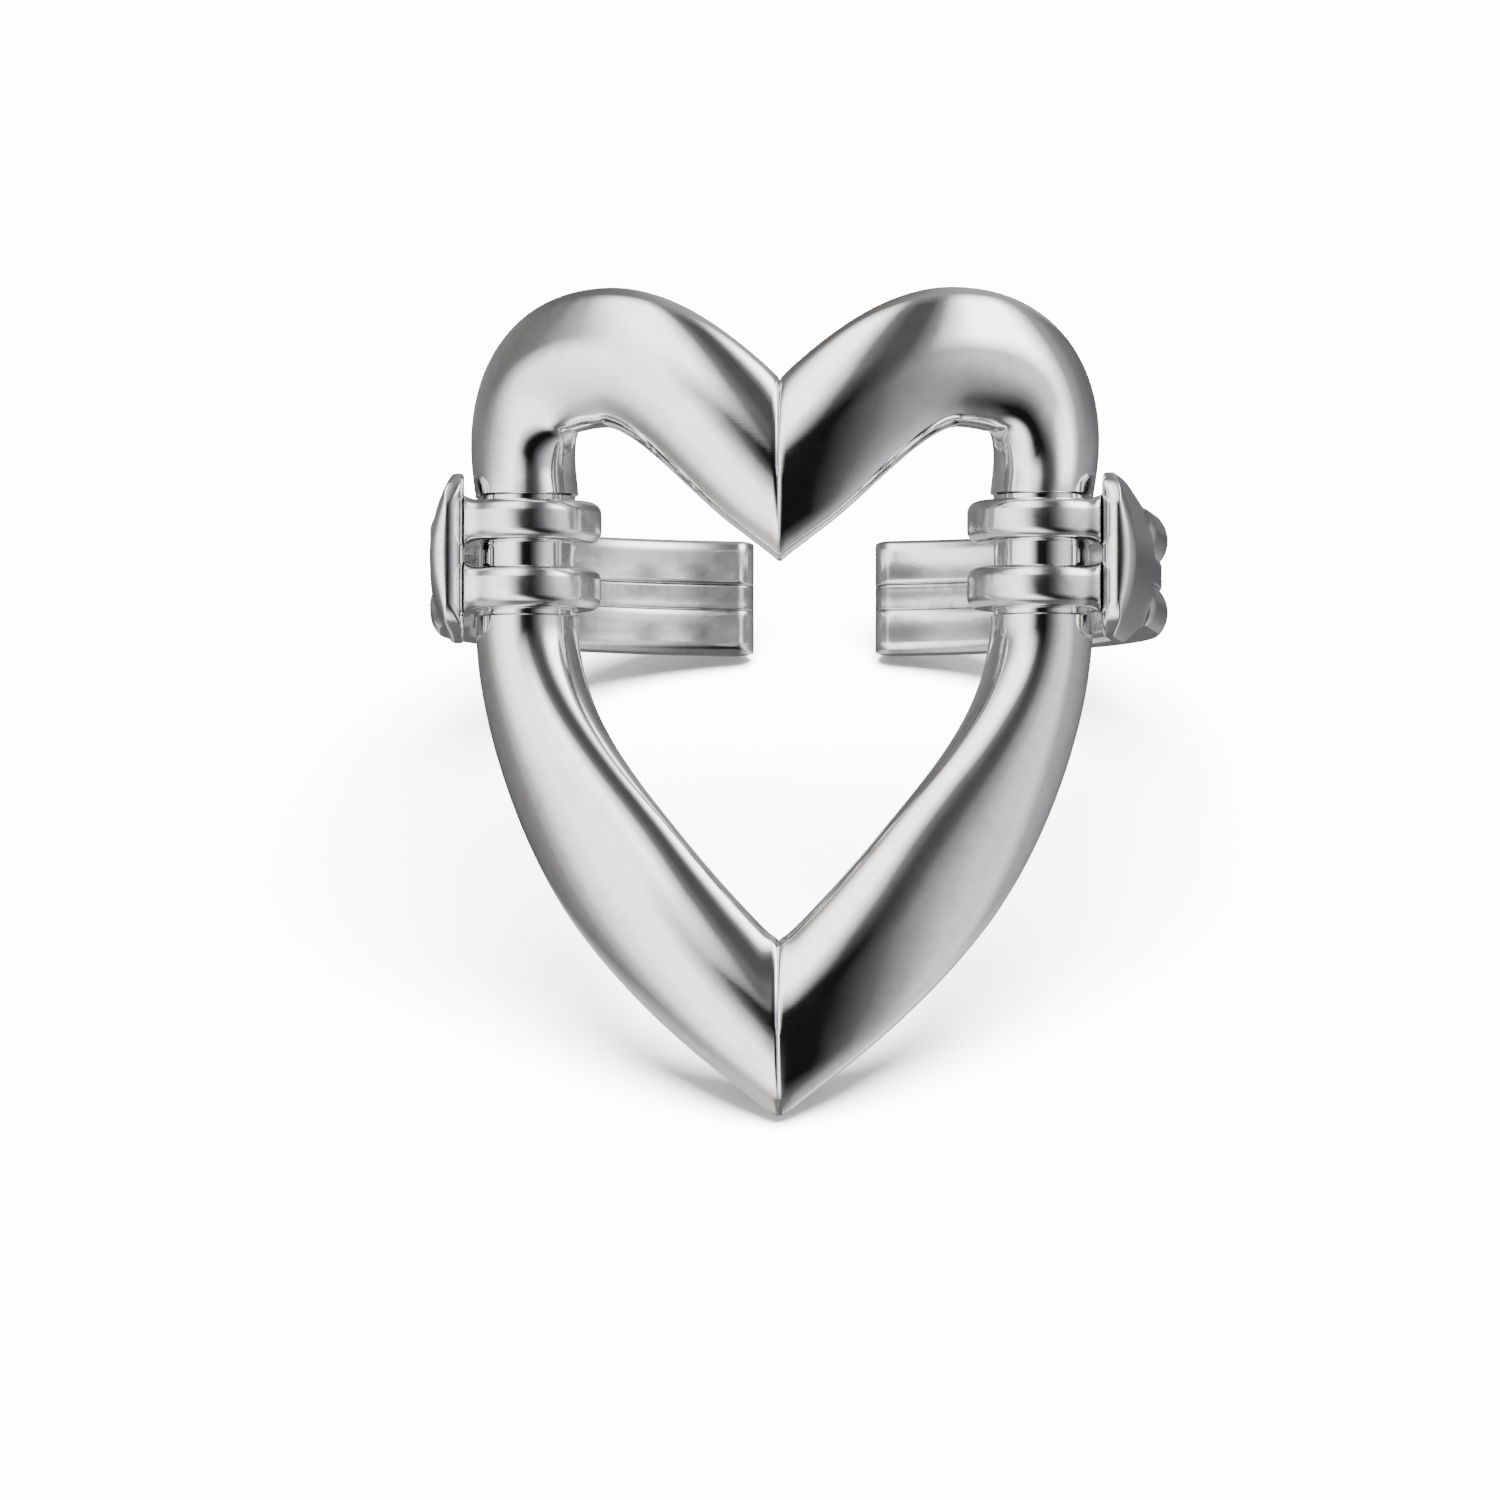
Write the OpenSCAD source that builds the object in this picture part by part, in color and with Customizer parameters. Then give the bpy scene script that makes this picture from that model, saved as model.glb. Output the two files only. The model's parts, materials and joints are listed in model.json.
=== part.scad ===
// Open-backed finger ring with a heart-shaped front, at real size in millimetres.
// The heart is two oval bars joined at the cleft and at the point, and bent round
// the finger. Each side of the band is an arm: three strands brazed side by side, a
// crowned side plate, and two loops that turn on a plain journal of the heart.
//
// Each module works in the ring's own frame: the finger axis is Z, the heart
// faces -Y. stand() then leans the ring back so that it rests on the heart's
// point and on the two rear ends of the band, with +Z up.

/* [Finger] */

// Inside diameter of the band
finger_d = 17.3; // [15:0.1:21]
// Gap between the two rear ends of the band
rear_gap = 3.3; // [2:0.1:6]

/* [Band strands] */

// Thickness of the band, inner face to crown
wall = 1.15; // [0.9:0.05:1.6]
// Height of the upper strand, and of the lower
strand_h = 1.2; // [0.9:0.05:1.6]
// Height of the middle strand
mid_h = 0.7; // [0.4:0.05:1]
// Rise of a strand's crown above its edges
crown = 0.25; // [0.1:0.01:0.4]
// Depth of the middle strand's outer face below the crowns
mid_drop = 0.16; // [0.1:0.01:0.3]
// Depth of the middle strand's inner face behind the others
mid_sink = 0.03; // [0:0.01:0.08]
// Edge break along the seams between strands
seam = 0.06; // [0.03:0.01:0.12]
// Edge break along the top and bottom of the band
rim = 0.22; // [0.1:0.01:0.3]
// Degrees by which each arm's straight part leans inward
arm_in = 4; // [1:0.5:5]
// Length of the straight part of each strand
strand_run = 3.1; // [2:0.1:4]

/* [Side plates] */

// Thickness of a side plate at its crown
plate_t = 0.9; // [0.7:0.05:1.2]
// Height of a side plate beside the loops
plate_h = 4.3; // [3.6:0.1:5]
// Height of a side plate where the strands meet it
plate_tail_h = 3.2; // [3:0.1:4]
// How far a side plate runs past the journal's axis
plate_lead = 1.1; // [0.8:0.1:1.6]
// Fall of the plate's crown at its top and bottom edges
plate_crown = 0.6; // [0.3:0.05:0.8]
// Corner radius at the plate's front end
plate_corner = 0.9; // [0.4:0.1:1.4]

/* [Loops] */

// Height of one loop
loop_h = 1.08; // [0.8:0.02:1.3]
// Clear gap between a side's two loops
loop_gap = 0.66; // [0.4:0.02:1]
// Thickness of a loop
loop_t = 0.66; // [0.5:0.02:0.9]
// Radius on a loop's outer edges
loop_edge = 0.32; // [0.1:0.02:0.4]
// Play between a loop's bore and the journal
loop_play = 0.03; // [0.02:0.01:0.1]

/* [Heart] */

// Distance of each journal from the heart's middle
limb_x = 6.7; // [6:0.1:8]
// Diameter of the plain journals
journal_d = 2.5; // [2:0.05:3]
// Length of a journal between its shoulders
journal_len = 3.2; // [3:0.05:4]
// Depth of the oval bars away from the journals
bar_deep = 1.96; // [1.6:0.02:2.6]
// Bar diameter just past a journal's shoulders
neck_d = 2.68; // [2.5:0.02:3]
// Bar width over the top of a lobe
lobe_d = 3.66; // [3:0.02:4]
// Bar width at the cleft
cleft_d = 3.7; // [3:0.02:4]
// Bar width half way down a side
side_d = 3.76; // [3:0.02:4]
// Bar width at the point
point_d = 3.5; // [3:0.02:4]
// Height of the bars' centre line at the cleft, above the journals' middle
cleft_z = 2.02; // [1:0.02:4]
// Height of the bars' centre line at the top of a lobe
lobe_z = 5.08; // [4:0.02:6]
// Distance of a lobe's top from the heart's middle
lobe_x = 4.56; // [3:0.02:6]
// Depth of the bars' centre line at the point, below the journals' middle
point_z = 12.52; // [10:0.02:15]

/* [Hidden] */

$fn = 72;
// Stations along each half of a bar, and corners round it
stations = 22;
around = 36;

r_in = finger_d / 2;
r_out = r_in + wall;
r_mid = r_in + wall / 2;
band_h = 2 * strand_h + mid_h;
// The heart is bent round the finger axis, so that loops and bars clear the finger
bend_r = r_in + 0.03 + max(journal_d / 2 + loop_play + loop_t, bar_deep / 2);
journal_y = sqrt(bend_r * bend_r - limb_x * limb_x);
nose_r = wall / 2 + 0.06;
end_a = asin((rear_gap / 2 + nose_r) / r_mid);

// The journal's place in the frame of an arm's straight part
jx = limb_x * cos(arm_in) + journal_y * sin(arm_in);
jy = limb_x * sin(arm_in) - journal_y * cos(arm_in);
loop_r = journal_d / 2 + loop_play;
loop_z = (loop_gap + loop_h) / 2;
plate_in = r_out - plate_t;

// Bar slope at the cleft and at the point, from the horizontal
cleft_a = 37.2;
point_a = 38.2;
// Lean at which the point and the rear ends both touch the table
tip_c = [-bend_r, -point_z];
tip_y = bar_deep / 2;
tip_z = point_d / 2 / cos(point_a);
crown_r = (strand_h * strand_h / 4 + crown * crown) / (2 * crown);
foot_r = r_out - crown;
foot_a = end_a - atan(sqrt(pow(nose_r, 2) - pow(foot_r - r_mid, 2)) / foot_r);

function tip_low(a) = -tip_c[0] * sin(a) + tip_c[1] * cos(a)
    - norm([tip_y * sin(a), tip_z * cos(a)]);
function end_low(a) = -foot_r * cos(foot_a) * sin(a) - band_h / 2 * cos(a);
function solve(lo, hi, n) = let (m = (lo + hi) / 2)
    n == 0 ? m : tip_low(m) < end_low(m) ? solve(m, hi, n - 1) : solve(lo, m, n - 1);
lean = solve(10, 60, 40);
floor_z = tip_low(lean);

// Front and rear limits after leaning, for centring on Y
front_y = -bend_r * cos(lean) + tip_c[1] * sin(lean)
    - norm([tip_y * cos(lean), tip_z * sin(lean)]);
rear_y = (r_out - crown_r + crown_r * cos(lean)) * cos(foot_a) * cos(lean)
    + ((mid_h + strand_h) / 2 + crown_r * sin(lean)) * sin(lean);
mid_y = (front_y + rear_y) / 2;

silver = [0.80, 0.80, 0.82];
silver_deep = [0.68, 0.68, 0.71];

// ---------- placing ----------

module stand() {
    translate([0, -mid_y, -floor_z]) rotate([-lean, 0, 0]) children();
}

// side = 1 is the right, side = -1 the left
module on_side(side) {
    if (side > 0) children();
    else mirror([1, 0, 0]) children();
}

// Frame of an arm's straight part: it runs along -Y at x = r_in to r_out
module along_arm() {
    rotate([0, 0, -arm_in]) children();
}

// ---------- heart bars ----------

function mix(a, b, t) = a + (b - a) * t;
function ease(t) = t * t * (3 - 2 * t);
function bez(p, t) = pow(1 - t, 3) * p[0] + 3 * pow(1 - t, 2) * t * p[1]
    + 3 * (1 - t) * t * t * p[2] + pow(t, 3) * p[3];
function bez_dir(p, t) = let (d = pow(1 - t, 2) * (p[1] - p[0])
    + 2 * (1 - t) * t * (p[2] - p[1]) + t * t * (p[3] - p[2])) d / norm(d);

neck_z = journal_len / 2;
// Each bar seen from the front: lobe, shoulder and side, as Bezier curves
lobe = [
    [0, cleft_z],
    [0, cleft_z] + 1.62 * [cos(cleft_a), sin(cleft_a)],
    [lobe_x - 1.66, lobe_z],
    [lobe_x, lobe_z]
];
shoulder = [
    [lobe_x, lobe_z],
    [lobe_x + 2.8, lobe_z],
    [limb_x + 0.1, neck_z + 0.77],
    [limb_x, neck_z]
];
flank = [
    [limb_x, -neck_z],
    [limb_x, -neck_z - 5.25],
    [0, -point_z] + 1.75 * [cos(point_a), sin(point_a)],
    [0, -point_z]
];

// A ring of corners round the bar where it passes p on its way along d, both seen
// from the front; q is how far the bend has turned the bar there. r is half the
// bar's width and e half its depth.
function ring_at(p, d, r, e) = let (
        q = asin(max(p[0], 0) / bend_r),
        t = [d[0] / cos(q), d[1]] / norm([d[0] / cos(q), d[1]])
    ) [for (i = [0:around - 1])
        let (a = 360 * (i + 0.5) / around, s = -t[1] * r * cos(a), w = e * sin(a))
        [p[0] + s * cos(q) - w * sin(q), -bend_r * cos(q) + s * sin(q) + w * cos(q),
            p[1] + t[0] * r * cos(a)]];

module sweep(rings) {
    n = len(rings);
    pts = [for (r = rings) each r];
    sides = [for (s = [0:n - 2], i = [0:around - 1])
        let (j = (i + 1) % around)
        [s * around + i, s * around + j, (s + 1) * around + j, (s + 1) * around + i]];
    caps = [
        [for (i = [around - 1:-1:0]) i],
        [for (i = [0:around - 1]) (n - 1) * around + i]
    ];
    polyhedron(pts, concat(sides, caps), convexity = 6);
}

// Two curves joined end to end, with a width at each end and at the joint
module lobe_bar() {
    half = stations / 2;
    deep = bar_deep / 2;
    start = [0, cleft_z] - 2.6 * [cos(cleft_a), sin(cleft_a)];
    rings = [
        ring_at(start, [cos(cleft_a), sin(cleft_a)], cleft_d / 2, deep),
        for (i = [0:half]) let (t = i / half)
            ring_at(bez(lobe, t), bez_dir(lobe, t), mix(cleft_d, lobe_d, ease(t)) / 2,
                deep),
        for (i = [1:half]) let (t = i / half)
            ring_at(bez(shoulder, t), bez_dir(shoulder, t), mix(lobe_d, neck_d, ease(t)) / 2,
                mix(deep, neck_d / 2, ease(t)))
    ];
    sweep(rings);
}

module flank_bar() {
    past = [0, -point_z] - 2.6 * [cos(point_a), sin(point_a)];
    deep = bar_deep / 2;
    rings = [
        for (i = [0:stations]) let (t = i / stations)
            ring_at(bez(flank, t), bez_dir(flank, t),
                (t < 0.5 ? mix(neck_d, side_d, ease(2 * t))
                    : mix(side_d, point_d, ease(2 * t - 1))) / 2,
                mix(neck_d / 2, deep, ease(min(2 * t, 1)))),
        ring_at(past, -[cos(point_a), sin(point_a)], point_d / 2, deep)
    ];
    sweep(rings);
}

// One bar, mitred against the other in the heart's middle plane
module limb() {
    difference() {
        union() {
            lobe_bar();
            flank_bar();
        }
        translate([-20, -bend_r - 10, -30]) cube([20, 20, 60]);
    }
    translate([limb_x, -journal_y, -neck_z - 0.6])
        cylinder(h = journal_len + 1.2, d = journal_d);
}

// ---------- band strands ----------

// Section of the upper strand: flat inside, crowned outside, edges broken
module strand_section() {
    z0 = mid_h / 2;
    z1 = z0 + strand_h;
    intersection() {
        polygon([
            [r_in + seam, z0], [r_out + 0.5, z0], [r_out + 0.5, z1],
            [r_in + rim, z1], [r_in, z1 - rim], [r_in, z0 + seam]
        ]);
        translate([r_out - crown_r, z0 + strand_h / 2]) circle(r = crown_r);
    }
}

// Section of the middle strand, set back a little on both faces
module middle_section() {
    a = r_in + mid_sink;
    b = r_out - mid_drop;
    h = mid_h / 2;
    polygon([
        [a + seam, -h], [b - seam, -h], [b, seam - h], [b, h - seam],
        [b - seam, h], [a + seam, h], [a, h - seam], [a, seam - h]
    ]);
}

// What is cut away to round a rear end, seen from above
module nose_cut() {
    rotate([0, 0, 90 - end_a]) translate([r_mid, 0, -band_h])
        linear_extrude(2 * band_h) difference() {
            translate([-wall, 0]) square([2 * wall, 2 * wall]);
            circle(r = nose_r);
        }
}

// A section carried round the finger from the rear end, then straight forward
module strand_path() {
    difference() {
        rotate([0, 0, -arm_in])
            rotate_extrude(angle = 90 + arm_in - end_a + 6) children();
        nose_cut();
    }
    along_arm() rotate([90, 0, 0]) linear_extrude(strand_run) children();
}

module strand_upper() {
    strand_path() strand_section();
}

module strand_middle() {
    strand_path() middle_section();
}

module strand_lower() {
    strand_path() mirror([0, 1]) strand_section();
}

// ---------- side plates ----------

// Outline seen from the side: Y forward is negative, Z is the second axis
module plate_outline() {
    front = jy - plate_lead;
    h = plate_h / 2;
    t = plate_tail_h / 2;
    c = plate_corner;
    polygon([
        [-strand_run, -t], [-strand_run, t], [jy + 1.9, h], [front + c, h],
        [front + c, h - c], [front, h - c], [front, c - h],
        [front + c, c - h], [front + c, -h], [jy + 1.9, -h]
    ]);
    for (s = [-1, 1]) translate([front + c, s * (h - c)]) circle(r = c);
}

module plate() {
    front = jy - plate_lead;
    h = plate_h / 2;
    dome_r = (h * h + plate_crown * plate_crown) / (2 * plate_crown);
    along_arm() intersection() {
        translate([plate_in, 0, 0]) rotate([90, 0, 90]) linear_extrude(plate_t)
            plate_outline();
        translate([r_out - dome_r, 0, 0]) rotate([90, 0, 0])
            cylinder(h = 20, r = dome_r);
        // The front edge is rounded in plan
        union() {
            translate([plate_in, front + plate_t / 2, -h])
                cube([plate_t, 20, 2 * h]);
            translate([plate_in + plate_t / 2, front + plate_t / 2, -h])
                cylinder(h = 2 * h, d = plate_t);
        }
    }
}

// ---------- loops ----------

module loop_section() {
    a = loop_r;
    b = loop_r + loop_t;
    h = loop_h / 2;
    e = loop_edge;
    polygon([
        [a + 0.08, -h], [b - e, -h], [b - e, e - h], [b, e - h],
        [b, h - e], [b - e, h - e], [b - e, h], [a + 0.08, h],
        [a, h - 0.08], [a, 0.08 - h]
    ]);
    for (s = [-1, 1]) translate([b - e, s * (h - e)]) circle(r = e);
}

// A loop round the journal, filed flat where it is brazed to the plate
module loop_at(z) {
    along_arm() difference() {
        translate([jx, jy, z]) rotate_extrude() loop_section();
        translate([plate_in, jy - 4, z - loop_h]) cube([4, 8, 2 * loop_h]);
    }
}

// ---------- nodes ----------

module limb_left() {
    color(silver) stand() on_side(-1) limb();
}

module limb_right() {
    color(silver) stand() on_side(1) limb();
}

module plate_left() {
    color(silver) stand() on_side(-1) plate();
}

module loop_upper_left() {
    color(silver_deep) stand() on_side(-1) loop_at(loop_z);
}

module loop_lower_left() {
    color(silver_deep) stand() on_side(-1) loop_at(-loop_z);
}

module strand_upper_left() {
    color(silver) stand() on_side(-1) strand_upper();
}

module strand_middle_left() {
    color(silver_deep) stand() on_side(-1) strand_middle();
}

module strand_lower_left() {
    color(silver) stand() on_side(-1) strand_lower();
}

module plate_right() {
    color(silver) stand() on_side(1) plate();
}

module loop_upper_right() {
    color(silver_deep) stand() on_side(1) loop_at(loop_z);
}

module loop_lower_right() {
    color(silver_deep) stand() on_side(1) loop_at(-loop_z);
}

module strand_upper_right() {
    color(silver) stand() on_side(1) strand_upper();
}

module strand_middle_right() {
    color(silver_deep) stand() on_side(1) strand_middle();
}

module strand_lower_right() {
    color(silver) stand() on_side(1) strand_lower();
}

limb_left();
limb_right();
plate_left();
loop_upper_left();
loop_lower_left();
strand_upper_left();
strand_middle_left();
strand_lower_left();
plate_right();
loop_upper_right();
loop_lower_right();
strand_upper_right();
strand_middle_right();
strand_lower_right();
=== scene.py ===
import json
import math

import bpy
import numpy as np
from mathutils import Matrix, Vector


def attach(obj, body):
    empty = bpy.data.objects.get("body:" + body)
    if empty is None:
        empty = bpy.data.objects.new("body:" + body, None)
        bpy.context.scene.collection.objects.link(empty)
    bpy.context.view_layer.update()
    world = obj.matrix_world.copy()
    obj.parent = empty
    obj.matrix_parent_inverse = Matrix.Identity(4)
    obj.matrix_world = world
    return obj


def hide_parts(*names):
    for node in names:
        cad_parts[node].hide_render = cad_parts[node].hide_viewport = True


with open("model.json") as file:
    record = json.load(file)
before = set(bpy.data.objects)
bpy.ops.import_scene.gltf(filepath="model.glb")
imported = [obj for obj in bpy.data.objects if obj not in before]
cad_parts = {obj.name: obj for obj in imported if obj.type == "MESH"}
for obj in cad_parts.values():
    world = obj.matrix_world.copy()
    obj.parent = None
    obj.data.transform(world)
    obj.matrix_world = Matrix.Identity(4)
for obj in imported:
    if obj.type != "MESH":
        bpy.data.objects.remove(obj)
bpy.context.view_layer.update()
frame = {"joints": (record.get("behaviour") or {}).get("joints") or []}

# ---------- the ring's own frame, in millimetres ----------
# Finger axis is Z and the heart faces -Y, as in the part's design. The lean and
# the place on the table come from the left arm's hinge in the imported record.

BEND_R = 10.62
LIMB_X = 6.7
JOURNAL_Y = math.sqrt(BEND_R ** 2 - LIMB_X ** 2)
HINGE = next(j for j in frame["joints"] if j["name"] == "left_arm_swing")
LEAN = math.atan2(HINGE["axis"][1], HINGE["axis"][2])
COS_L, SIN_L = math.cos(LEAN), math.sin(LEAN)
SHIFT_Y = HINGE["pos_m"][1] * 1000 + JOURNAL_Y * COS_L
SHIFT_Z = HINGE["pos_m"][2] * 1000 - JOURNAL_Y * SIN_L

# Band
R_IN, WALL = 8.65, 1.15
R_OUT = R_IN + WALL
R_MID = R_IN + WALL / 2
STRAND_H, MID_H = 1.2, 0.7
BAND_H = 2 * STRAND_H + MID_H
CROWN, MID_DROP, MID_SINK = 0.25, 0.16, 0.03
ARM_IN = math.radians(4)
STRAND_RUN = 3.1
REAR_GAP = 3.3
NOSE_R = WALL / 2

# Plates
PLATE_T, PLATE_H, PLATE_TAIL_H = 0.9, 4.3, 3.2
PLATE_LEAD, PLATE_CROWN, PLATE_CORNER = 1.1, 0.6, 0.9
PLATE_IN = R_OUT - PLATE_T

# Loops
LOOP_H, LOOP_GAP, LOOP_T, LOOP_PLAY = 1.08, 0.66, 0.66, 0.03
LOOP_Z = (LOOP_GAP + LOOP_H) / 2

# Depth by which a strand's crown falls at its front end, and over what length
END_FALL, END_RUN = 0.125, 0.34

# Heart
JOURNAL_D, JOURNAL_LEN = 2.5, 3.2
NECK_D, LOBE_D, CLEFT_D, SIDE_D, POINT_D = 2.68, 3.66, 3.7, 3.76, 3.5
BAR_DEEP = 1.96
CLEFT_Z, LOBE_Z, LOBE_X, POINT_Z = 2.02, 5.08, 4.56, 12.52
CLEFT_A, POINT_A = math.radians(37.2), math.radians(38.2)
NECK_Z = JOURNAL_LEN / 2
JX = LIMB_X * math.cos(ARM_IN) + JOURNAL_Y * math.sin(ARM_IN)
JY = LIMB_X * math.sin(ARM_IN) - JOURNAL_Y * math.cos(ARM_IN)


def to_row(p):
    """Ring frame in mm to the row frame in metres."""
    p = np.asarray(p, float)
    out = np.empty_like(p)
    out[..., 0] = p[..., 0]
    out[..., 1] = p[..., 1] * COS_L + p[..., 2] * SIN_L + SHIFT_Y
    out[..., 2] = -p[..., 1] * SIN_L + p[..., 2] * COS_L + SHIFT_Z
    return out / 1000


def ring_vector(v):
    """Direction in the ring frame to the row frame."""
    return Vector((v[0], v[1] * COS_L + v[2] * SIN_L, -v[1] * SIN_L + v[2] * COS_L))


def from_arm(p):
    """Frame of an arm's straight part to the ring frame, right side."""
    p = np.asarray(p, float)
    c, s = math.cos(ARM_IN), math.sin(ARM_IN)
    out = np.array(p)
    out[..., 0] = p[..., 0] * c + p[..., 1] * s
    out[..., 1] = -p[..., 0] * s + p[..., 1] * c
    return out


# ---------- mesh helpers ----------

SHARP = math.radians(38)


def tube(rings, closed_ends=True):
    """Faces joining rings of corners into a skin, with a face on each end."""
    n, m = rings.shape[0], rings.shape[1]
    verts = rings.reshape(-1, 3)
    faces = []
    for a in range(n - 1):
        for b in range(m):
            c = (b + 1) % m
            faces.append((a * m + b, a * m + c, (a + 1) * m + c, (a + 1) * m + b))
    if closed_ends:
        faces.append(tuple(range(m - 1, -1, -1)))
        faces.append(tuple((n - 1) * m + b for b in range(m)))
    return verts, faces


def piece(name, verts, faces, side, body, node, material):
    """One smooth-shaded piece; side -1 mirrors the right-hand shape to the left."""
    v = np.array(verts, float)
    if side < 0:
        v[:, 0] = -v[:, 0]
        faces = [f[::-1] for f in faces]
    v = to_row(v)
    mesh = bpy.data.meshes.new(name)
    mesh.from_pydata(v.tolist(), [], faces)
    mesh.validate()
    mesh.update()
    mesh.shade_smooth()
    obj = bpy.data.objects.new(name, mesh)
    bpy.context.scene.collection.objects.link(obj)
    if signed_volume(mesh) < 0:
        mesh.flip_normals()
    mesh.set_sharp_from_angle(angle=SHARP)
    mesh.materials.append(material)
    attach(obj, body)
    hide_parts(node)
    return obj


def signed_volume(mesh):
    """Volume inside the skin, below zero where it is inside out."""
    mesh.calc_loop_triangles()
    co = np.array([v.co[:] for v in mesh.vertices])
    tri = np.array([t.vertices[:] for t in mesh.loop_triangles])
    a, b, c = co[tri[:, 0]], co[tri[:, 1]], co[tri[:, 2]]
    return float(np.einsum("ij,ij->i", a, np.cross(b, c)).sum() / 6)


def fillet(points, radii, steps=5):
    """A closed outline with each corner rounded to its own radius."""
    out = []
    n = len(points)
    for i in range(n):
        p = np.array(points[i], float)
        r = radii[i]
        if r <= 0:
            out.append(p)
            continue
        u = np.array(points[i - 1], float) - p
        v = np.array(points[(i + 1) % n], float) - p
        lu, lv = np.linalg.norm(u), np.linalg.norm(v)
        u, v = u / lu, v / lv
        half = math.acos(max(-1.0, min(1.0, float(u @ v)))) / 2
        t = min(r / math.tan(half), 0.49 * lu, 0.49 * lv)
        r = t * math.tan(half)
        centre = p + (u + v) / np.linalg.norm(u + v) * (r / math.sin(half))
        a, b = p + u * t - centre, p + v * t - centre
        turn = math.acos(max(-1.0, min(1.0, float(a @ b) / (r * r))))
        for k in range(steps + 1):
            f = k / steps
            w = (math.sin((1 - f) * turn) * a + math.sin(f * turn) * b) / math.sin(turn)
            out.append(centre + w)
    return np.array(out)


def dense(outline, step=0.09):
    """The same closed outline with more corners along its long sides."""
    out = []
    for i, p in enumerate(outline):
        q = outline[(i + 1) % len(outline)]
        k = max(1, int(np.linalg.norm(q - p) / step))
        out += [p + (q - p) * j / k for j in range(k)]
    return np.array(out)


def ease(t):
    return t * t * (3 - 2 * t)


def mix(a, b, t):
    return a + (b - a) * t


# ---------- heart bars ----------


def bez(p, t):
    """Points of a cubic curve."""
    t = t[..., None]
    return ((1 - t) ** 3 * p[0] + 3 * (1 - t) ** 2 * t * p[1]
            + 3 * (1 - t) * t * t * p[2] + t ** 3 * p[3])


def bez_dir(p, t):
    """Unit directions of a cubic curve."""
    t = t[..., None]
    d = ((1 - t) ** 2 * (p[1] - p[0]) + 2 * (1 - t) * t * (p[2] - p[1])
         + t * t * (p[3] - p[2]))
    return d / np.linalg.norm(d, axis=-1, keepdims=True)


CLEFT_DIR = np.array([math.cos(CLEFT_A), math.sin(CLEFT_A)])
POINT_DIR = np.array([math.cos(POINT_A), math.sin(POINT_A)])
CLEFT = np.array([0.0, CLEFT_Z])
POINT = np.array([0.0, -POINT_Z])
LOBE = [CLEFT, CLEFT + 1.62 * CLEFT_DIR, np.array([LOBE_X - 1.66, LOBE_Z]),
        np.array([LOBE_X, LOBE_Z])]
SHOULDER = [LOBE[3], np.array([LOBE_X + 2.8, LOBE_Z]),
            np.array([LIMB_X + 0.1, NECK_Z + 0.77]), np.array([LIMB_X, NECK_Z])]
FLANK = [np.array([LIMB_X, -NECK_Z]), np.array([LIMB_X, -NECK_Z - 5.25]),
         POINT + 1.75 * POINT_DIR, POINT]
RUN_ON = 3.0


def centre_line(s):
    """Point, direction and radius along a bar: 0 to 1 and 1 to 2 are the lobe,
    2 to 3 the journal, 3 to 4 the flank; it runs on straight past each end."""
    s = np.asarray(s, float)
    p = np.empty(s.shape + (2,))
    d = np.empty(s.shape + (2,))
    r = np.empty(s.shape)
    k = s < 0
    p[k] = CLEFT + RUN_ON * s[k][:, None] * CLEFT_DIR
    d[k] = CLEFT_DIR
    r[k] = CLEFT_D / 2
    k = (s >= 0) & (s < 1)
    p[k], d[k] = bez(LOBE, s[k]), bez_dir(LOBE, s[k])
    r[k] = mix(CLEFT_D, LOBE_D, ease(s[k])) / 2
    k = (s >= 1) & (s < 2)
    p[k], d[k] = bez(SHOULDER, s[k] - 1), bez_dir(SHOULDER, s[k] - 1)
    r[k] = mix(LOBE_D, NECK_D, ease(s[k] - 1)) / 2
    k = (s >= 2) & (s < 3)
    z = NECK_Z - (s[k] - 2) * JOURNAL_LEN
    p[k] = np.stack([np.full_like(z, LIMB_X), z], -1)
    d[k] = [0, -1]
    near = np.minimum(s[k] - 2, 3 - s[k]) * JOURNAL_LEN
    r[k] = np.interp(near, [0, 0.012, 0.03, 0.05],
                     [NECK_D / 2, NECK_D / 2 - 0.02, JOURNAL_D / 2 + 0.02, JOURNAL_D / 2])
    k = (s >= 3) & (s < 4)
    t = s[k] - 3
    p[k], d[k] = bez(FLANK, t), bez_dir(FLANK, t)
    r[k] = np.where(t < 0.5, mix(NECK_D, SIDE_D, ease(np.minimum(2 * t, 1))),
                    mix(SIDE_D, POINT_D, ease(np.maximum(2 * t - 1, 0)))) / 2
    k = s >= 4
    p[k] = POINT - RUN_ON * (s[k] - 4)[:, None] * POINT_DIR
    d[k] = -POINT_DIR
    r[k] = POINT_D / 2
    return p, d, r


def half_depth(s, r):
    """Half the oval bar's depth; the journals and their shoulders are round."""
    s = np.asarray(s, float)
    deep = BAR_DEEP / 2
    out = np.where(s < 2, mix(deep, NECK_D / 2, ease(np.clip(s - 1, 0, 1))),
                   mix(NECK_D / 2, deep, ease(np.clip(2 * (s - 3), 0, 1))))
    return np.where((s >= 2) & (s < 3), r, out)


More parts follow.
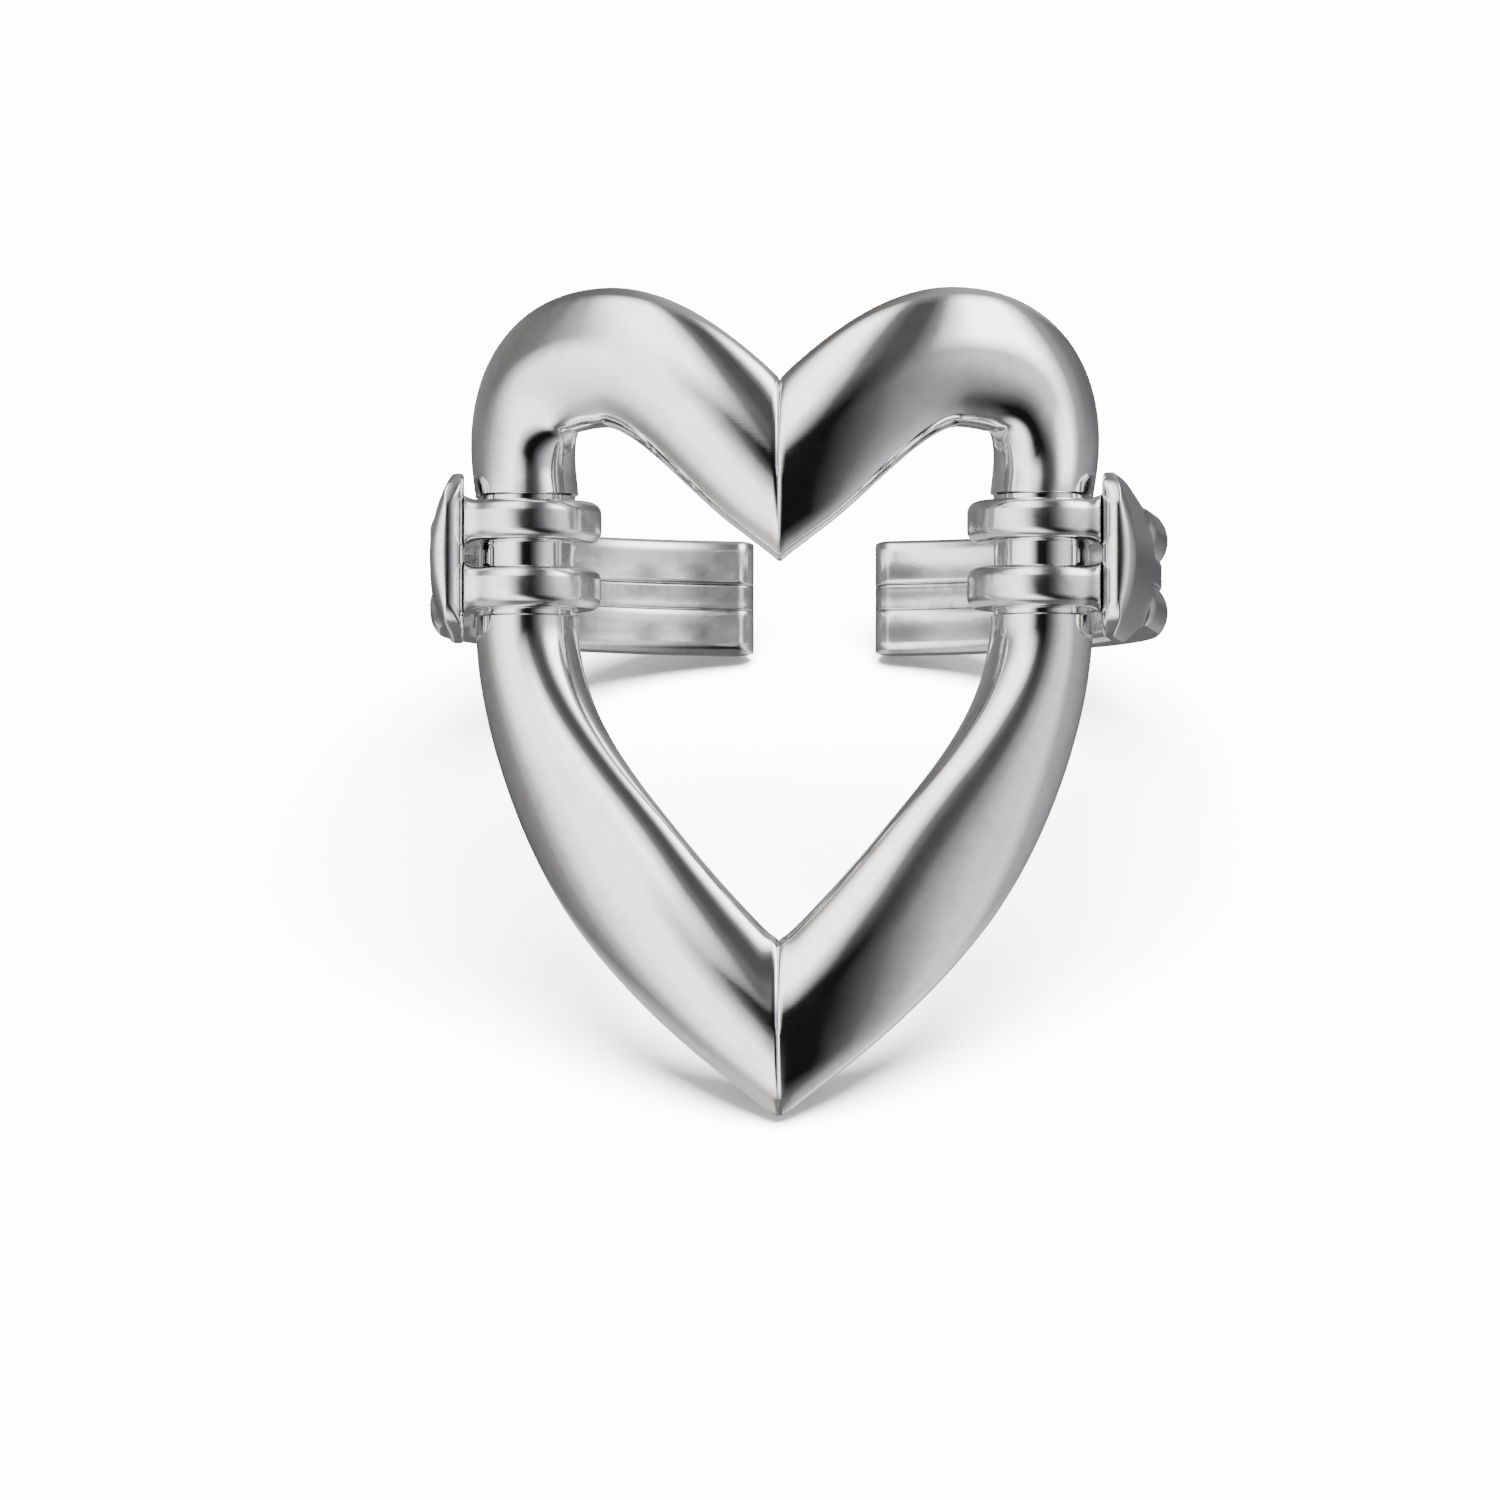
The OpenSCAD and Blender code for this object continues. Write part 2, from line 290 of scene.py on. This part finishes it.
def bar_points(s, a, thin=0.0):
    """Skin points at centre-line places s and angles a round the bar."""
    p, d, r = centre_line(s)
    half = half_depth(s, r) - thin
    # A cast and hand-polished bar is very slightly uneven
    r = r - thin + 0.006 * np.sin(2 * a + 1.7 * s) * np.cos(2.3 * s + 0.4)
    # The heart is bent round the finger; cq and sq turn the section with the bend
    sq = np.maximum(p[..., 0], 0) / BEND_R
    cq = np.sqrt(1 - sq * sq)
    u, v = d[..., 0] / cq, d[..., 1]
    k = np.sqrt(u * u + v * v)
    across = -v / k * r * np.cos(a)
    inward = half * np.sin(a)
    out = np.empty(s.shape + (3,))
    out[..., 0] = p[..., 0] + across * cq - inward * sq
    out[..., 1] = -BEND_R * cq + across * sq + inward * cq
    out[..., 2] = p[..., 1] + u / k * r * np.cos(a)
    return out


def crossing(a, lo, hi, rising):
    """Where each column of the bar's skin meets the heart's middle plane."""
    lo = np.full_like(a, lo)
    hi = np.full_like(a, hi)
    for _ in range(40):
        m = (lo + hi) / 2
        x = bar_points(m, a)[..., 0]
        below = (x < 0) if rising else (x > 0)
        lo = np.where(below, m, lo)
        hi = np.where(below, hi, m)
    return (lo + hi) / 2


def make_limb(side, material):
    """One bar of the heart, cut off flat on the heart's middle plane at both ends."""
    word = "right" if side > 0 else "left"
    around = 112
    a = (np.arange(around) + 0.5) / around * 2 * math.pi
    start = crossing(a, -1.0, 0.9, True)
    end = crossing(a, 3.2, 5.0, False)
    s_lobe = np.concatenate([[0, 0.008, 0.02], np.linspace(0.05, 1.95, 70)])
    s_journal = np.concatenate([
        [2, 2.004, 2.010, 2.016, 2.03], np.linspace(2.1, 2.9, 7),
        [2.97, 2.984, 2.990, 2.996, 3]])
    s_flank = np.concatenate([np.linspace(3.02, 3.97, 64), [3.985, 3.994, 4.0]])
    stations = np.concatenate([s_lobe, s_journal, s_flank])
    first, last = 0.95, 3.25
    # The edges of the mitres are broken over two rings
    seam_break = [0.045, 0.012]
    rings = []
    for i, s in enumerate(stations):
        if s < first:
            col = start + (s / first) * (first - start)
        elif s > last:
            col = last + (s - last) / (4 - last) * (end - last)
        else:
            col = np.full_like(a, s)
        from_end = min(i, len(stations) - 1 - i)
        thin = seam_break[from_end] if from_end < len(seam_break) else 0.0
        ring = bar_points(col, a, thin)
        if from_end == 0:
            ring[:, 0] = 0.0
        ring[:, 0] = np.maximum(ring[:, 0], 0.0)
        rings.append(ring)
    rings = np.array(rings)
    # The point and the cleft are very slightly blunted where the bars meet
    x = rings[..., 0]
    low = rings[..., 2] < -8
    soft = np.clip(1 - x / 0.45, 0, 1) ** 2
    rings[..., 2] += np.where(low, 0.10 * soft, -0.03 * soft)
    verts, faces = tube(rings)
    return piece(f"limb_{word}_bar", verts, faces, side, "heart", f"limb_{word}",
                 material)


# ---------- arms ----------


def strand_outline():
    """Upper strand's section: flat inside, crowned outside."""
    z0, z1 = MID_H / 2 + 0.004, MID_H / 2 + STRAND_H
    h = STRAND_H / 2
    crown_r = (h * h + CROWN * CROWN) / (2 * CROWN)
    zc = (z0 + z1) / 2
    half = math.asin(h / crown_r)
    pts = [(R_IN, z0)]
    rad = [0.07]
    for k in range(17):
        t = -half + 2 * half * k / 16
        pts.append((R_OUT - crown_r + crown_r * math.cos(t), zc + crown_r * math.sin(t)))
        rad.append(0.05 if k == 0 else 0.13 if k == 16 else 0)
    pts.append((R_IN, z1))
    rad.append(0.24)
    out = dense(fillet(pts, rad, 5))
    # The inner face is a touch rounded for comfort
    inner = np.clip(1 - (out[:, 0] - R_IN) / 0.3, 0, 1)
    out[:, 0] -= 0.025 * inner * np.clip(1 - ((out[:, 1] - zc) / h) ** 2, 0, 1)
    return out


def middle_outline():
    """Middle strand's section: a bar set back inside and outside."""
    a, b, h = R_IN + MID_SINK, R_OUT - MID_DROP, MID_H / 2 - 0.004
    out = dense(fillet([(a, -h), (b, -h), (b, h), (a, h)], [0.07] * 4, 4))
    # The middle strand's inner face is a touch hollow
    inner = np.clip(1 - (out[:, 0] - a) / 0.3, 0, 1)
    out[:, 0] += 0.03 * inner * np.clip(1 - (out[:, 1] / h) ** 2, 0, 1)
    return out


def make_strand(side, which, material):
    """A section carried forward along the arm and round to the rear end."""
    word = "right" if side > 0 else "left"
    sec = middle_outline() if which == "middle" else strand_outline()
    if which == "lower":
        sec = sec * [1, -1]
    rho, z = sec[:, 0], sec[:, 1]
    end_a = math.asin((REAR_GAP / 2 + NOSE_R) / R_MID)
    rings = []
    start = -STRAND_RUN + np.array([0, 0.02, 0.05, 0.1, 0.16, 0.24, END_RUN])
    for y in np.concatenate([start, np.linspace(-STRAND_RUN + 0.5, -0.4, 9)]):
        # The crown is filed down to the plate where the two meet
        k = np.clip(1 - (y + STRAND_RUN) / END_RUN, 0, 1)
        top = np.clip((rho - R_OUT + 0.4) / 0.4, 0, 1)
        x = rho - END_FALL * k ** 2 * top
        rings.append(from_arm(np.stack([x, np.full_like(x, y), z], -1)))
    last = math.pi / 2 - end_a
    for t in np.linspace(-ARM_IN, last, 84):
        rings.append(np.stack([rho * math.cos(t), rho * math.sin(t), z], -1))
    # The rear end is rounded over
    for q in np.linspace(0, math.pi / 2, 15)[1:]:
        beyond = NOSE_R * math.sin(q) / R_MID
        shrink = max(math.cos(q), 0.03)
        w = R_MID + (rho - R_MID) * shrink
        drop = 1 - 0.05 * math.sin(q) ** 3
        zz = z if which == "middle" else z * drop
        t = last + beyond
        rings.append(np.stack([w * math.cos(t), w * math.sin(t), zz], -1))
    verts, faces = tube(np.array(rings))
    return piece(f"strand_{which}_{word}_wire", verts, faces, side, f"{word}_arm",
                 f"strand_{which}_{word}", material)


def make_plate(side, material):
    """Side plate: crowned outside, with a rounded front end and a lower tail."""
    word = "right" if side > 0 else "left"
    front = JY - PLATE_LEAD
    dome_r = ((PLATE_H / 2) ** 2 + PLATE_CROWN ** 2) / (2 * PLATE_CROWN)
    nose = PLATE_T / 2

    def half_height(y):
        h = mix(PLATE_TAIL_H, PLATE_H,
                ease(np.clip((y + STRAND_RUN) / (JY + 1.9 + STRAND_RUN), 0, 1))) / 2
        s = y - front
        c = PLATE_CORNER
        if s < c:
            h = h - c + math.sqrt(max(c * c - (c - s) ** 2, 0))
        return h

    ys = np.concatenate([
        [-STRAND_RUN, -STRAND_RUN - 0.02, -STRAND_RUN - 0.06],
        np.linspace(-STRAND_RUN - 0.15, front + PLATE_CORNER, 30),
        front + PLATE_CORNER * (1 - np.sin(np.linspace(0.08, math.pi / 2, 16)))])
    rings = []
    for i, y in enumerate(ys):
        h = half_height(y)
        # The edge facing the strands is broken too
        tail = [0.05, 0.015, 0.0][i] if i < 3 else 0.0
        n = 15
        zs = np.linspace(-h, h, n)
        dome = R_OUT - dome_r + np.sqrt(dome_r ** 2 - zs ** 2)
        pts = [(PLATE_IN, -h)] + list(zip(dome, zs)) + [(PLATE_IN, h)]
        rad = [0.10] + [0.14] + [0] * (n - 2) + [0.14] + [0.10]
        sec = fillet(pts, rad, 5)
        s = y - front
        shrink = 1.0
        if s < nose:
            shrink = math.sqrt(max(1 - ((nose - s) / nose) ** 2, 0.0025))
        mid = PLATE_IN + nose
        x = mid + (sec[:, 0] - mid) * shrink * (1 - tail)
        zz = sec[:, 1] * (1 - tail)
        rings.append(from_arm(np.stack([x, np.full_like(x, y), zz], -1)))
    verts, faces = tube(np.array(rings))
    return piece(f"plate_{word}_cheek", verts, faces, side, f"{word}_arm",
                 f"plate_{word}", material)


def make_loop(side, which, material):
    """A loop round the journal, held against the plate's inner face."""
    word = "right" if side > 0 else "left"
    zc = LOOP_Z if which == "upper" else -LOOP_Z
    a = JOURNAL_D / 2 + LOOP_PLAY
    b = a + LOOP_T
    h = LOOP_H / 2
    sec = fillet([(a, -h), (b, -h), (b, h), (a, h)], [0.09, 0.31, 0.31, 0.09], 9)
    around = 120
    rings = []
    for k in range(around + 1):
        t = 2 * math.pi * k / around
        x = JX + sec[:, 0] * math.cos(t)
        y = JY + sec[:, 0] * math.sin(t)
        z = sec[:, 1].copy()
        # Solder draws the loop out a little where it meets the plate
        near = np.clip(1 - (PLATE_IN - x) / 0.42, 0, 1) ** 2
        z = z * (1 + 0.30 * near)
        y = JY + (y - JY) * (1 + 0.22 * near)
        x = np.minimum(x, PLATE_IN + 0.004)
        rings.append(from_arm(np.stack([x, y, z + zc], -1)))
    verts, faces = tube(np.array(rings[:-1]), closed_ends=False)
    n, m = around, len(sec)
    for i in range(m):
        j = (i + 1) % m
        faces.append(((n - 1) * m + i, (n - 1) * m + j, j, i))
    return piece(f"loop_{which}_{word}_ring", verts, faces, side, f"{word}_arm",
                 f"loop_{which}_{word}", material)


# ---------- materials ----------


class Net:
    """Small helper to lay out a node tree."""

    def __init__(self, tree):
        self.t = tree
        tree.nodes.clear()

    def add(self, kind, **values):
        n = self.t.nodes.new(kind)
        for k, v in values.items():
            setattr(n, k, v)
        return n

    def link(self, a, b):
        self.t.links.new(a, b)

    def math(self, op, a, b=0.0, c=None, clamp=False):
        n = self.add("ShaderNodeMath", operation=op, use_clamp=clamp)
        for i, v in enumerate((a, b, c)):
            if v is None:
                continue
            if isinstance(v, (int, float)):
                n.inputs[i].default_value = v
            else:
                self.link(v, n.inputs[i])
        return n.outputs[0]

    def noise(self, vec, scale, detail=3.0, rough=0.5):
        n = self.add("ShaderNodeTexNoise")
        n.inputs["Scale"].default_value = scale
        n.inputs["Detail"].default_value = detail
        n.inputs["Roughness"].default_value = rough
        self.link(vec, n.inputs["Vector"])
        return n.outputs["Fac"]

    def ramp(self, fac, stops):
        n = self.add("ShaderNodeValToRGB")
        e = n.color_ramp.elements
        while len(e) < len(stops):
            e.new(0.5)
        for i, (pos, col) in enumerate(stops):
            e[i].position = pos
            e[i].color = col if len(col) == 4 else (*col, 1)
        self.link(fac, n.inputs["Fac"])
        return n.outputs["Color"]

    def mapped(self, vec, scale, rot=(0, 0, 0)):
        n = self.add("ShaderNodeMapping")
        n.inputs["Scale"].default_value = scale
        n.inputs["Rotation"].default_value = rot
        self.link(vec, n.inputs["Vector"])
        return n.outputs["Vector"]


def grey(v):
    return (v, v, v)


def silver(name, tint, shade, rough, scratch, tone=0.0, turn=(0, 0, 0)):
    """Polished silver: hazy polish, hairline scratches and darker specks; given dark colours
    and deep specks it paints the shade in the band's groove.
    """
    mat = bpy.data.materials.new(name)
    mat.use_nodes = True
    n = Net(mat.node_tree)
    out = n.add("ShaderNodeOutputMaterial")
    bsdf = n.add("ShaderNodeBsdfPrincipled")
    n.link(bsdf.outputs[0], out.inputs["Surface"])
    bsdf.inputs["Metallic"].default_value = 1.0
    coord = n.add("ShaderNodeTexCoord").outputs["Object"]
    mm = n.mapped(coord, (1000, 1000, 1000))
    # Colour: slow drift in tone, and darker specks where polish has collected; the groove's
    # copy deepens both as painted shade
    drift = n.noise(mm, 0.33, 3, 0.55)
    col = n.ramp(drift, [(0.30, shade), (0.68, tint)])
    specks = n.noise(mm, 2.6, 5, 0.62)
    stain = n.ramp(specks, [(0.34, grey(1.0 - 0.22 * (0.4 + tone))), (0.52, grey(1.0))])
    mul = n.add("ShaderNodeMix", data_type="RGBA", blend_type="MULTIPLY")
    mul.inputs[0].default_value = 1.0
    n.link(col, mul.inputs[6])
    n.link(stain, mul.inputs[7])
    n.link(mul.outputs[2], bsdf.inputs["Base Color"])
    # Roughness: haze from handling, in soft patches, and fine wiping marks
    haze = n.noise(mm, 0.8, 4, 0.6)
    wipe = n.noise(n.mapped(mm, (0.6, 0.6, 7), turn), 1.6, 3, 0.6)
    r = n.math("MULTIPLY_ADD", haze, 0.10, rough - 0.05)
    r = n.math("MULTIPLY_ADD", wipe, 0.05, r)
    n.link(r, bsdf.inputs["Roughness"])
    # Bump: hairlines in two directions over a slightly wavy hand-polished surface
    hair_a = n.noise(n.mapped(mm, (1.5, 1.5, 34), turn), 1.0, 2, 0.5)
    hair_b = n.noise(n.mapped(mm, (30, 1.2, 1.2), (0.5, 0.3, 0.9)), 1.0, 2, 0.5)
    wave = n.noise(mm, 0.55, 1, 0.4)
    height = n.math("MULTIPLY", hair_a, 0.0006)
    height = n.math("MULTIPLY_ADD", hair_b, 0.0004, height)
    height = n.math("MULTIPLY_ADD", wave, 0.022 * scratch, height)
    bump = n.add("ShaderNodeBump")
    bump.inputs["Strength"].default_value = 0.6
    bump.inputs["Distance"].default_value = 0.001
    n.link(height, bump.inputs["Height"])
    n.link(bump.outputs[0], bsdf.inputs["Normal"])
    return mat


HEART = silver("heart_polish", (0.93, 0.92, 0.915), (0.86, 0.86, 0.865), 0.06, 1.0)
PLATE = silver("plate_polish", (0.90, 0.895, 0.895), (0.82, 0.82, 0.83), 0.13, 1.2,
               0.15, (0.2, 0.1, 0))
LOOP = silver("loop_polish", (0.90, 0.89, 0.89), (0.80, 0.80, 0.81), 0.14, 1.2,
              0.3, (0, 0.4, 0.2))
BAND = silver("band_polish", (0.91, 0.90, 0.90), (0.83, 0.83, 0.84), 0.12, 1.0,
              0.1, (0.6, 0, 0))
# Painted shade: the sunken middle strand gets a darker, rougher copy with deeper specks,
# standing in for the shade in the groove between the outer strands
GROOVE_PAINTED_SHADE = silver("groove_painted_shade", (0.74, 0.735, 0.74), (0.60, 0.60, 0.62), 0.20, 1.0,
                0.7, (0.6, 0, 0))

for side in (-1, 1):
    make_limb(side, HEART)
    make_plate(side, PLATE)
    make_loop(side, "upper", LOOP)
    make_loop(side, "lower", LOOP)
    make_strand(side, "upper", BAND)
    make_strand(side, "middle", GROOVE_PAINTED_SHADE)
    make_strand(side, "lower", BAND)

# ---------- floor ----------

# A hair under the ring, so that the two never share a plane
FLOOR_Z, FLOOR_HALF = -0.00002, 1.6


def make_floor():
    """Plain white table."""
    mesh = bpy.data.meshes.new("floor")
    s = FLOOR_HALF
    mesh.from_pydata([(-s, -s, 0), (s, -s, 0), (s, s, 0), (-s, s, 0)], [], [(0, 1, 2, 3)])
    obj = bpy.data.objects.new("floor", mesh)
    bpy.context.scene.collection.objects.link(obj)
    obj.location.z = FLOOR_Z
    mat = bpy.data.materials.new("floor_white")
    mat.use_nodes = True
    n = Net(mat.node_tree)
    out = n.add("ShaderNodeOutputMaterial")
    bsdf = n.add("ShaderNodeBsdfPrincipled")
    n.link(bsdf.outputs[0], out.inputs["Surface"])
    bsdf.inputs["Base Color"].default_value = (0.93, 0.93, 0.93, 1)
    bsdf.inputs["Roughness"].default_value = 0.08
    bsdf.inputs["IOR"].default_value = 1.6
    mesh.materials.append(mat)
    obj.visible_glossy = False


make_floor()

# ---------- studio ----------


def brightness_ramp(n, fac, stops, top):
    """Ramp over -90 to 90 degrees of light levels, the brightest being `top`."""
    return n.ramp(fac, [((deg + 90) / 180, grey(level / top)) for deg, level in stops])


def make_world():
    """Light and dark areas laid out by the way a surface must face to mirror them."""
    world = bpy.data.worlds.new("studio")
    bpy.context.scene.world = world
    world.use_nodes = True
    n = Net(world.node_tree)
    out = n.add("ShaderNodeOutputWorld")
    ray = n.add("ShaderNodeTexCoord").outputs["Generated"]

    # A polished surface facing `half` mirrors the ray's part of the studio to the front
    lift = n.add("ShaderNodeVectorMath", operation="ADD")
    n.link(ray, lift.inputs[0])
    lift.inputs[1].default_value = tuple(ring_vector(FRONT))
    norm = n.add("ShaderNodeVectorMath", operation="NORMALIZE")
    n.link(lift.outputs[0], norm.inputs[0])
    half = norm.outputs[0]

    def along(vec):
        d = n.add("ShaderNodeVectorMath", operation="DOT_PRODUCT")
        n.link(half, d.inputs[0])
        d.inputs[1].default_value = tuple(ring_vector(vec))
        return d.outputs["Value"]

    to_deg = 180 / math.pi
    turn = n.math("MULTIPLY", n.math("ARCTAN2", along((1, 0, 0)), along((0, -1, 0))), to_deg)
    rise = n.math("MULTIPLY", n.math("ARCSINE", along((0, 0, 1))), to_deg)
    across = n.math("MULTIPLY_ADD", turn, 1 / 180, 0.5, clamp=True)
    # The dark gap straight ahead bends away to the right further down
    skew = n.math("MULTIPLY_ADD", n.math("MINIMUM", rise, 0.0), 0.6, turn)
    bent = n.math("MULTIPLY_ADD", skew, 1 / 180, 0.5, clamp=True)
    upper = brightness_ramp(n, across, UPPER, TOP)
    high = brightness_ramp(n, across, HIGH, TOP)
    ahead = brightness_ramp(n, bent, AHEAD, TOP)
    lower = brightness_ramp(n, across, LOWER, TOP)
    under = brightness_ramp(n, across, UNDER, TOP)

    def blend(mask, a, b):
        m = n.add("ShaderNodeMix", data_type="RGBA")
        n.link(mask, m.inputs[0])
        n.link(a, m.inputs[6])
        n.link(b, m.inputs[7])
        return m.outputs[2]

    def past(lo, hi):
        return n.math("MULTIPLY_ADD", rise, 1 / (hi - lo), -lo / (hi - lo), clamp=True)

    level = blend(past(-72, -54), under, lower)
    level = blend(past(-34, -22), level, ahead)
    level = blend(past(3, 10), level, high)
    level = blend(past(34, 46), level, upper)
    # Warm on the left, cool on the right
    warm = n.ramp(across, [(0.10, (0.97, 0.97, 1.0)), (0.30, (1.0, 0.965, 0.93)),
                           (0.48, (1.0, 0.965, 0.93)), (0.56, (0.95, 0.96, 1.0))])
    tinted = n.add("ShaderNodeMix", data_type="RGBA", blend_type="MULTIPLY")
    tinted.inputs[0].default_value = 1.0
    n.link(level, tinted.inputs[6])
    n.link(warm, tinted.inputs[7])
    seen = n.add("ShaderNodeBackground")
    n.link(tinted.outputs[2], seen.inputs["Color"])
    seen.inputs["Strength"].default_value = TOP
    plain = n.add("ShaderNodeBackground")
    plain.inputs["Color"].default_value = (1, 1, 1, 1)
    plain.inputs["Strength"].default_value = PLAIN
    path = n.add("ShaderNodeLightPath")
    both = n.add("ShaderNodeMixShader")
    n.link(path.outputs["Is Camera Ray"], both.inputs[0])
    n.link(seen.outputs[0], both.inputs[1])
    n.link(plain.outputs[0], both.inputs[2])
    n.link(both.outputs[0], out.inputs["Surface"])


# Way from the ring to the viewer, brightest panel, and the plain surround
FRONT = (0.047, -0.997, -0.058)
TOP, PLAIN = 6.0, 11.0
# Light levels mirrored by surfaces turned so many degrees to the right: for
# surfaces facing well up, up a little, ahead, down, and straight down. They were
# set from the reference photograph's brightness, sorted by the way each spot of
# the model faces; this is not an even studio
UPPER = [(-90, 0.25), (-45, 0.16), (-25, 0.19), (-5, 0.26), (10, 0.38), (30, 0.50),
         (60, 0.50), (90, 0.60)]
HIGH = [(-90, 0.36), (-60, 0.26), (-45, 0.20), (-35, 0.25), (-28, 0.7), (-22, 2.2),
        (-15, 3.8), (-5, 3.8), (-1, 1.8), (3, 0.25), (8, 0.10), (14, 0.10), (18, 0.35),
        (22, 2.2), (27, 5.6), (35, 5.6), (40, 2.0), (44, 0.5), (54, 0.22), (70, 0.16),
        (90, 0.2)]
AHEAD = [(-90, 0.12), (-72, 0.2), (-58, 0.25), (-50, 0.35), (-42, 0.8), (-34, 2.0),
         (-24, 3.0), (-14, 3.0), (-8, 1.0), (-4, 0.15), (-1, 0.01), (7, 0.01),
         (11, 0.08), (14, 0.15), (20, 0.45), (27, 1.1), (35, 1.3), (42, 0.55),
         (58, 0.36), (72, 0.22), (90, 0.10)]
LOWER = [(-90, 0.5), (-72, 0.9), (-55, 0.8), (-35, 0.9), (-24, 0.9), (-15, 0.45),
         (-5, 0.22), (5, 0.20), (15, 0.15), (25, 0.2), (35, 0.5), (45, 0.75),
         (56, 1.4), (66, 1.1), (76, 0.5), (90, 0.3)]
UNDER = [(-90, 0.16), (90, 0.16)]

make_world()


def softbox(name, place, aim, size, power):
    """Round area light aimed at a place, itself unseen in the polish."""
    light = bpy.data.lights.new(name, "AREA")
    light.shape = "DISK"
    light.size = size
    light.energy = power
    obj = bpy.data.objects.new(name, light)
    bpy.context.scene.collection.objects.link(obj)
    obj.location = place
    obj.rotation_mode = "QUATERNION"
    obj.rotation_quaternion = (Vector(aim) - Vector(place)).to_track_quat("-Z", "Y")
    obj.visible_glossy = False
    return obj


softbox("overhead", (0.05, -0.04, 0.5), (0, 0, 0), 0.45, 48.0)

# ---------- camera ----------

# Aim in the ring's own frame: a little from the right and from under the band's
# plane, which leans back; above the table that is about 31 degrees
AZ, EL, ROLL = math.radians(2.707), math.radians(-3.34), math.radians(0.077)
DISTANCE, AIM = 392.0, (0.0, 0.0, -3.0)
# Long lens, and how far the frame sits off the aim as shares of its width
SENSOR, LENS = 36.0, 354.192
FRAME_SHIFT = (-0.0326, -0.0402)

back = Vector((math.sin(AZ) * math.cos(EL), -math.cos(AZ) * math.cos(EL), math.sin(EL)))
right = Vector((0, 0, 1)).cross(back).normalized()
up = back.cross(right)
right, up = (right * math.cos(ROLL) + up * math.sin(ROLL),
             up * math.cos(ROLL) - right * math.sin(ROLL))
place = Vector(to_row(np.array(AIM) + DISTANCE * np.array(back)))
axes = Matrix([ring_vector(right), ring_vector(up), ring_vector(back)]).transposed()
cam_data = bpy.data.cameras.new("camera")
cam = bpy.data.objects.new("camera", cam_data)
bpy.context.scene.collection.objects.link(cam)
bpy.context.scene.camera = cam
cam_data.sensor_width = SENSOR
cam_data.lens = LENS
cam_data.clip_start, cam_data.clip_end = 0.01, 20
cam.matrix_world = Matrix.Translation(place) @ axes.to_4x4()
cam_data.shift_x, cam_data.shift_y = FRAME_SHIFT
